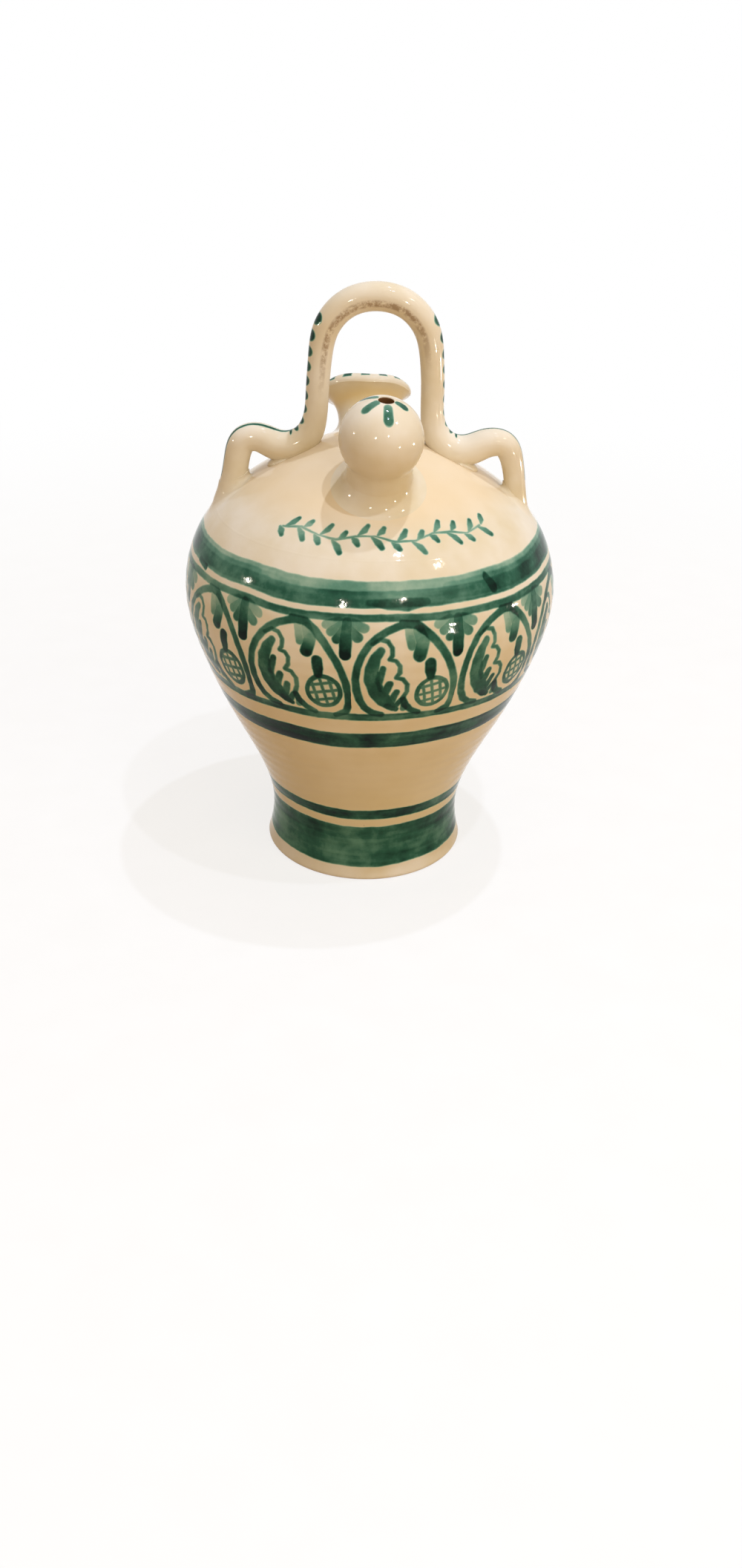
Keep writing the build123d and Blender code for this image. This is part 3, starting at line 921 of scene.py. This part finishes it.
# marks on the spout: short strokes that spread from the drinking hole
spoutMarks = {
    "strokes": [  # direction in degrees, start and end from the hole's middle, half width, load
        (-88, 8.2, 15.2, 2.9, 0.5), (-150, 7.2, 13.4, 2.8, 0.62), (-19, 7.2, 10.6, 2.6, 0.72),
        (150, 7.4, 13.6, 2.6, 0.7),
    ],
    "narrow": 0.4,  # each stroke starts thinner and ends fuller
    "fade": 0.06,
    "gain": 0.08,
    "waver": (0.4, 0.4, 0),
    "above": (4.0, 6.0),  # only the upper half of the ball is marked
    "holeEdge": 0.2,
}
lipMarks = {"count": 15, "half": 2.3, "top": 0.5, "load": 0.76}


def alongAxis(made, seat, ways):
    # coordinates in millimetres from a seat, along each of the given ways
    fromSeat = made["add"]("VectorMath SUBTRACT", made["spot"], seat)
    return [made["add"]("VectorMath DOT_PRODUCT", fromSeat, way) for way in ways]


def markedSpout():
    # cream with short green strokes round a hole of bare clay, painted dark as shade inside
    made = creamGlaze("creamGlazeSpout")
    add = made["add"]
    ways = [ballTurn(1) @ spout["axis"][way] for way in ("side", "front", "up")]
    across, back, up = alongAxis(made, spout["ballCentre"], ways)
    flat = add("CombineXYZ", across, back)
    bent = add("VectorMath MULTIPLY_ADD", wavering(made), spoutMarks["waver"], flat)
    strokes = []
    for turn, start, end, half, load in spoutMarks["strokes"]:
        c, s = cos(radians(turn)), sin(radians(turn))
        first = (start * c, start * s, half - spoutMarks["narrow"], load - spoutMarks["fade"])
        strokes.append([first, (end * c, end * s, half, load + spoutMarks["gain"])])
    brushMark(made, bent, strokes)
    thinPaint(made, add("MapRange", up, *spoutMarks["above"]))

    # the hollow of the ball and the wall of the hole are bare clay, painted darker than the foot's clay as
    # the shade inside
    fromCentre = add("VectorMath DISTANCE", made["spot"], spout["ballCentre"])
    hollow = add("Math LESS_THAN", fromCentre, spout["bulbRadius"] - glaze["hollowDeep"])
    fromHole = add("VectorMath LENGTH", flat)
    bored = add("Math LESS_THAN", fromHole, spout["hole"] + spoutMarks["holeEdge"])
    tintGround(made, add("Math MAXIMUM", hollow, bored), glaze["hollow"])
    return glazeFinish(made)


def markedMouth():
    # a neck with painted warm shade under a pale lip with green dashes
    made = creamGlaze("creamGlazeMouth")
    add = made["add"]
    rise, lip = mouth["rimRise"], mouth["lip"]
    ways = [mouth["axis"][way] for way in ("side", "front", "up")]
    across, back, up = alongAxis(made, mouth["axis"]["seat"], ways)
    # painted shade: a warmer, darker cream on the neck below the lip, fading out towards the slip
    neck = [rise + step for step in glaze["neckShadeRange"]]
    foot = [smears["mouth"]["top"] + step for step in glaze["neckShadeFoot"]]
    shadedNeck = add("MapRange", up, *neck, 0.0, glaze["neckShadeMost"], **smooth)
    clear = add("MapRange", up, *foot, **smooth)
    shadedNeck = add("Math MULTIPLY", shadedNeck, clear)
    tintGround(made, shadedNeck, glaze["neckShade"])
    turn = add("Math ARCTAN2", back, across)
    bend = add("SeparateXYZ", wavering(made))
    lipLine = mouth["rimRadius"] - lip
    run = add("Math MULTIPLY_ADD", turn, lipLine, bend.outputs["X"])
    beat = add("Math PINGPONG", run, pi * lipLine / lipMarks["count"])
    inside = add("Math SUBTRACT", lipMarks["half"], beat)
    crest = add("Math SUBTRACT", up, rise + lipMarks["top"] * lip)
    inside = add("Math MINIMUM", inside, crest)
    made["bare"] = add("MapRange", inside, *brushEdge, 1.0, 1 - lipMarks["load"], **smooth)
    return glazeFinish(made)


# marks along the outer line of the handle, and the rubbed streak inside its arch
coilMarks = {
    "step": 8.7,
    "half": 2.9,
    "round": 4.4,
    "legs": (30.0, 114.0),
    "line": (110.0, 172.0),
    "lineHalf": 0.9,
    "load": 0.8,
    "girth": 8.0,
    "wander": [  # run, turn from outside
        (-172, 0.3), (-135, 0.3), (-112, 0.0), (-75, 0.16), (-28, 0.52), (28, 0.1), (105, -0.25), (170, 0.15),
    ],
    "scar": "#a08a70",
    "scarAt": 1.9,
    "scarHalf": 0.25,
    "scarSoft": 0.12,
    "scarRun": (-78.0, 62.0),
    "scarFade": 30.0,
    "scarGrain": 3.5,
    "scarRange": (0.37, 0.56, 0.0, 0.9),
}


def markedHandle():
    # green ovals down the legs, a thin line over the humps and a brown streak inside the arch
    made = creamGlaze("creamGlazeHandle")
    add = made["add"]
    run = add("Attribute", attribute_name="coilRun").outputs["Fac"]
    turn = add("Attribute", attribute_name="coilRound").outputs["Fac"]
    bend = add("SeparateXYZ", wavering(made))
    wander = coilMarks["wander"]
    offTurn = add("Math SUBTRACT", turn, wander[0][1])
    for (start, low), (end, high) in zip(wander, wander[1:]):
        step = add("MapRange", run, start, end, 0.0, high - low)
        offTurn = add("Math SUBTRACT", offTurn, step)
    girth = add("Math ABSOLUTE", add("Math MULTIPLY_ADD", offTurn, coilMarks["girth"], bend.outputs["X"]))
    away = add("Math ABSOLUTE", run)
    beat = add("Math PINGPONG", run, coilMarks["step"] / 2)
    girthShare = add("Math MULTIPLY", girth, coilMarks["half"] / coilMarks["round"])
    oval = add("VectorMath LENGTH", add("CombineXYZ", beat, girthShare))
    inside = add("Math SUBTRACT", coilMarks["half"], oval)
    thin = add("Math SUBTRACT", coilMarks["lineHalf"], girth)
    loads = 0.0
    for depth, span in ((inside, coilMarks["legs"]), (thin, coilMarks["line"])):
        depth = add("Math MINIMUM", depth, withinSpan(add, away, *span))
        mark = add("MapRange", depth, *brushEdge, 0.0, coilMarks["load"], **smooth)
        loads = add("Math MAXIMUM", mark, loads)
    made["bare"] = add("Math SUBTRACT", 1.0, loads)

    # where the inside of the arch was rubbed the glaze is brown
    half, soft = coilMarks["scarHalf"], coilMarks["scarSoft"]
    off = apart(add, turn, coilMarks["scarAt"])
    strip = add("MapRange", off, half + soft, half - soft, **smooth)
    low, high = coilMarks["scarRun"]
    reach = (high - low) / 2
    centre = apart(add, run, (low + high) / 2)
    ends = add("MapRange", centre, reach, reach - coilMarks["scarFade"])
    patchy = add("TexNoise",
                 {"Vector": made["spot"], "Scale": 1 / coilMarks["scarGrain"], "Detail": 4.0,
                  "Roughness": 0.7})
    patchy = add("MapRange", patchy, *coilMarks["scarRange"])
    rubbed = add("Math MULTIPLY", add("Math MULTIPLY", strip, ends), patchy)
    tintGround(made, rubbed, coilMarks["scar"])
    return glazeFinish(made)


# a plain leafy sprig brushed on the front of the shoulder
sprig = {
    "radius": 86.2,
    "slope": 1.27,  # slant length for each step of radius
    "from": -62.0,
    "to": 66.0,
    "step": 11.6,
    "wave": 2.4,
    "stem": 0.75,
    "stemSwell": 0.25,
    "leaf": 8.8,
    "leafRoot": (1.8, 0.6),  # where a leaf leaves the stem
    "leafStops": [  # share of the leaf along and up, half width, load over the stem's
        (0.0, 0.0, 0.8, 0.0), (0.4, 0.42, 2.1, 0.06), (0.62, 0.8, 1.5, 0.2),
    ],
    "load": 0.4,
}


def sprigDome():
    # painted shade makes the top of the dome warmer and darker than the shoulder, and the sprig is in thin
    # green
    made = creamGlaze("creamGlazeShoulder")
    add = made["add"]
    # painted shade: the top of the dome turns warmer and darker, for how the light falls there
    warm = add("MapRange", made["z"], *glaze["topShadeRange"], 0.0, glaze["topShadeMost"], **smooth)
    tintGround(made, warm, glaze["crest"])
    bend = wavering(made)
    azimuth = azimuthOf(made)
    across = add("Math MULTIPLY", azimuth, sprig["radius"])
    reach = fromAxis(made)
    slant = add("Math MULTIPLY_ADD", reach, -sprig["slope"], sprig["slope"] * sprig["radius"])
    flat = add("CombineXYZ", across, slant)
    flat = add("VectorMath MULTIPLY", add("VectorMath ADD", flat, bend), (1, 1, 0))
    count = int((sprig["to"] - sprig["from"]) / sprig["step"])
    stem = []
    for i in range(count + 1):
        along = sprig["from"] + i * sprig["step"]
        half = sprig["stem"] + sprig["stemSwell"] * sin(2.3 * i)
        stem.append((along, sprig["wave"] * sin(1.7 * i), half, sprig["load"]))
    leaves = []
    for i, (along, height, half, load) in enumerate(stem):
        for up in (1, -1):
            size = sprig["leaf"] * (0.85 + 0.2 * sin(3.1 * i + up))
            x, y = (c + step * up for c, step in zip((along, height), sprig["leafRoot"]))
            leaves.append([(x + out * size, y + rise * size * up, wide, load + more)
                           for out, rise, wide, more in sprig["leafStops"]])
    brushMark(made, flat, [stem] + leaves)
    return glazeFinish(made)


cream = plainGlaze()
painted = paintedBelly()
spoutGlaze = markedSpout()
mouthGlaze = markedMouth()
handleGlaze = markedHandle()
domeGlaze = sprigDome()
print("glazes mixed")

bellyWall = wallSection(body["footSeam"][1], body["shoulderSeam"][0])
footLute = wallSection(*body["footSeam"], swell=body["footSwell"])
shoulderLute = wallSection(*body["shoulderSeam"], swell=body["shoulderSwell"])
for name, section, node, slot, material in (
        ("thrownFoot", footSection(), "foot", "painted_glaze", painted),
        ("footSeam", footLute, "foot_seam_slip", "painted_glaze", painted),
        ("thrownBelly", bellyWall, "belly_wall", "painted_glaze", painted),
        ("shoulderSeam", shoulderLute, "belly_seam_slip", "cream_glaze", domeGlaze)):
    dress(spin(name, section, body["segments"], thrownPoint), node, slot, material)
dome = spin("thrownDome", domeSection(), body["segments"], thrownPoint)
pierceDome(dome)
dress(dome, "shoulder_dome", "cream_glaze", domeGlaze)
print("body thrown")

ball = spin("drinkingSpout", spoutSection(), spout["segments"], seatedPlace(spout["axis"], turnBall))
dress(ball, "spout", "cream_glaze", spoutGlaze)
funnel = spin("fillingMouth", mouthSection(), mouth["segments"], seatedPlace(mouth["axis"], waveRim))
dress(funnel, "mouth", "cream_glaze", mouthGlaze)
dress(pullHandle(), "handle", "cream_glaze", handleGlaze)
for seat, word in ((spout, "spout"), (mouth, "mouth")):
    stem = seat["neckRadius"] + smears["coat"]
    rise = levelRise(seat["axis"], stem, smears[word]["top"])
    smear = smearSlip(word + "Smear", seat["axis"], stem, rise, lambda turn: smears[word]["spread"])
    dress(smear, word + "_seat_slip", "cream_glaze", cream)
for side, word in ((1, "right"), (-1, "left")):
    thick, reach = smears["root"][word]
    rise = rootBlend(*smears["rootRise"])
    spread = rootBlend(*smears["rootSpread"])
    smear = smearSlip(word + "RootSmear", rootAxis(side, reach), thick, rise, spread)
    dress(smear, word + "_root_slip", "cream_glaze", cream)
    dress(pressPat(word + "SaddlePat", side), word + "_saddle_slip", "cream_glaze", cream)
print("spout, mouth, handle and slip made")

# floor, lamps and camera
studio = {
    "paper": "#f4f2ee",
    "paperSize": 30,
    "fibre": 900.0,
    "white": (1, 1, 1, 1),
    "bounce": "#c2a276",
    "glow": (0.3, 1.1, 0.75),  # metres over which the paper fades to white, and the share of white at the jug
    "lamps": {  # place, size, power, tint
        "ceiling": ((0.34, 0.11, 1.96), 0.045, 11.0, "#dbe7ff"),
        "ceilingFront": ((0.36, -0.58, 1.88), 0.045, 8.4, "#dfe8ff"),
        "room": ((0.95, -1.6, 1.0), 2.0, 15.0, "#fff0d8"),
    },
    "sparks": {  # far lamps of the room, too weak to light the jug, that shine back from its gloss
        "left": (-1.39, -0.12, 0.6),
        "frontLeft": (-0.48, -1.31, 0.75),
        "frontRight": (0.38, -1.31, 0.85),
        "right": (0.97, -1.03, 0.1),
        "farRight": (1.32, -0.03, 0.08),
        "high": (0.79, -0.54, 1.35),
    },
    "sparkSize": 0.05,
    "sparkPower": 14.0,
    "sparkTint": "#fff4e0",
    "aim": (0, 0, 0.2),
    "sky": "#ffecd4",
    "skyStrength": 0.62,
}
camera = {
    "at": (-0.06875, -0.89567, 0.5523),
    "heading": 4.664,
    "pitch": 29.859,
    "roll": 1.54,
    "focalPixels": 2000,
    "tallPixels": 2114,
    "sensor": 36,
}


def seenRay(add):
    # 1 for rays that show the background: straight to the camera, by a reflection or through glass
    ray = add("LightPath").outputs
    seen = add("Math MAXIMUM", ray["Is Camera Ray"], ray["Is Glossy Ray"])
    return add("Math MAXIMUM", seen, ray["Is Transmission Ray"])


bpy.ops.mesh.primitive_plane_add(size=studio["paperSize"])
floor = bpy.context.object
floor.name = "studioFloor"
# seamless matte paper: white to the camera, a warm table to the light that it throws back
paper = newMaterial("matteWhitePaper")
add = partial(addNode, paper.node_tree)
seen = seenRay(add)
fibre = add("TexNoise", {"Scale": studio["fibre"], "Detail": 2.0})
paperTone = add("Mix", {0: fibre, 6: hexLinear(studio["paper"]), 7: studio["white"]}, **tinted)
matte = add("BsdfDiffuse", {"Color": paperTone})
white = add("Emission", {"Color": studio["white"], "Strength": 1.0})
fromJug = add("VectorMath LENGTH", add("TexCoord").outputs["Object"])
fade = add("MapRange", fromJug, *studio["glow"], **smooth)
front = add("MixShader", fade, matte, white)
table = add("BsdfDiffuse", {"Color": hexLinear(studio["bounce"])})
mixed = add("MixShader", seen, table, front)
add("OutputMaterial", mixed)
floor.data.materials.append(paper)

world = bpy.data.worlds.new("softSky")
world.use_nodes = True
scene.world = world
world.node_tree.nodes.clear()
add = partial(addNode, world.node_tree)
seen = seenRay(add)
sky = add("Background", {"Color": hexLinear(studio["sky"]), "Strength": studio["skyStrength"]})
white = add("Background", {"Color": studio["white"], "Strength": 1.0})
mixed = add("MixShader", seen, sky, white)
add("OutputWorld", mixed)

lamps = dict(studio["lamps"])
for name, place in studio["sparks"].items():
    lamps[name + "Spark"] = (place, studio["sparkSize"], studio["sparkPower"], studio["sparkTint"])
for name, (place, size, power, tint) in lamps.items():
    light = bpy.data.lights.new(name + "Lamp", "AREA")
    light.shape = "DISK"
    light.size = size
    light.energy = power
    light.color = hexLinear(tint)[:3]
    holder = bpy.data.objects.new(name + "Lamp", light)
    holder.location = place
    holder.visible_diffuse = not name.endswith("Spark")
    holder.rotation_euler = (Vector(studio["aim"]) - holder.location).to_track_quat("-Z", "Y").to_euler()
    scene.collection.objects.link(holder)

heading, pitch, roll = (radians(camera[k]) for k in ("heading", "pitch", "roll"))
look = Vector((sin(heading) * cos(pitch), cos(heading) * cos(pitch), -sin(pitch)))
right = Vector((cos(heading), -sin(heading), 0))
above = right.cross(look)
turned = right * cos(roll) + above * sin(roll)
above = turned.cross(look)
lens = bpy.data.cameras.new("photoCamera")
lens.sensor_fit = "VERTICAL"
lens.sensor_height = camera["sensor"]
lens.lens = camera["focalPixels"] * lens.sensor_height / camera["tallPixels"]
eye = bpy.data.objects.new("photoCamera", lens)
eye.matrix_world = Matrix.Translation(camera["at"]) @ Matrix((turned, above, -look)).transposed().to_4x4()
scene.collection.objects.link(eye)
scene.camera = eye
scene.view_settings.view_transform = "Standard"
print("studio set")
